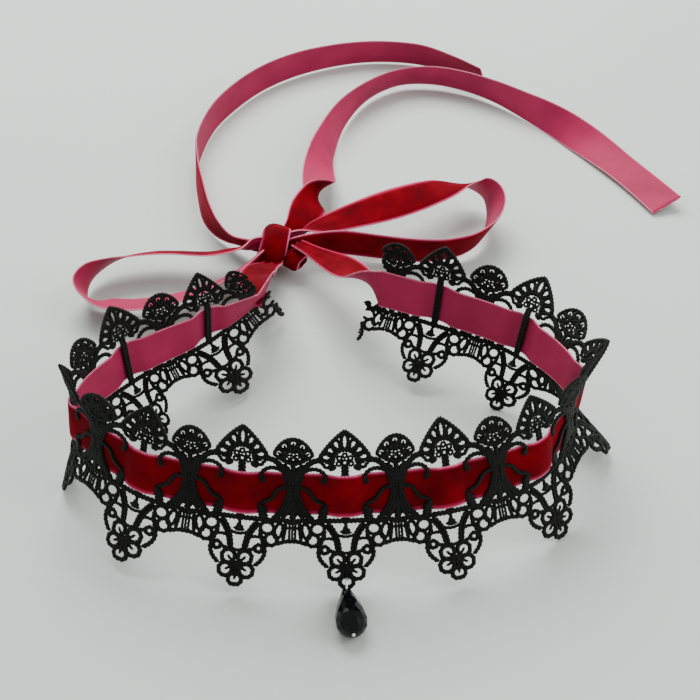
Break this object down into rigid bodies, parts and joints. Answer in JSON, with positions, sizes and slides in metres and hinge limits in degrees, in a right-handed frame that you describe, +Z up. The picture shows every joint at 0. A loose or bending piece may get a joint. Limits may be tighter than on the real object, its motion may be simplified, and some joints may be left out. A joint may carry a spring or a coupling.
{
  "type": "choker necklace",
  "caption": "Pierced lace choker with a woven-in velvet ribbon, tied in a bow with two long tails behind, and a faceted teardrop on a ring in front.",
  "frame": {"origin": "centre of the bounding box in plan, on the table the necklace lies on", "axes": "+Z up, the front of the band and the teardrop toward -Y, the bow and tails toward +Y"},
  "size_m": [0.2054, 0.2934, 0.0437],
  "materials": {
    "lace": "matt corded thread",
    "velvet": "velvet outside, pink satin inside",
    "ring_metal": "polished",
    "black_stone": "polished, faceted, opaque"
  },
  "bodies": {
    "root": {"lace_band": "lace", "ribbon_band": "velvet", "bow_knot": "velvet", "bow_loop_left": "velvet", "bow_loop_right": "velvet", "ribbon_tail_left": "velvet", "ribbon_tail_right": "velvet", "jump_ring": "ring_metal", "drop_bead": "black_stone"}
  },
  "joints": []
}
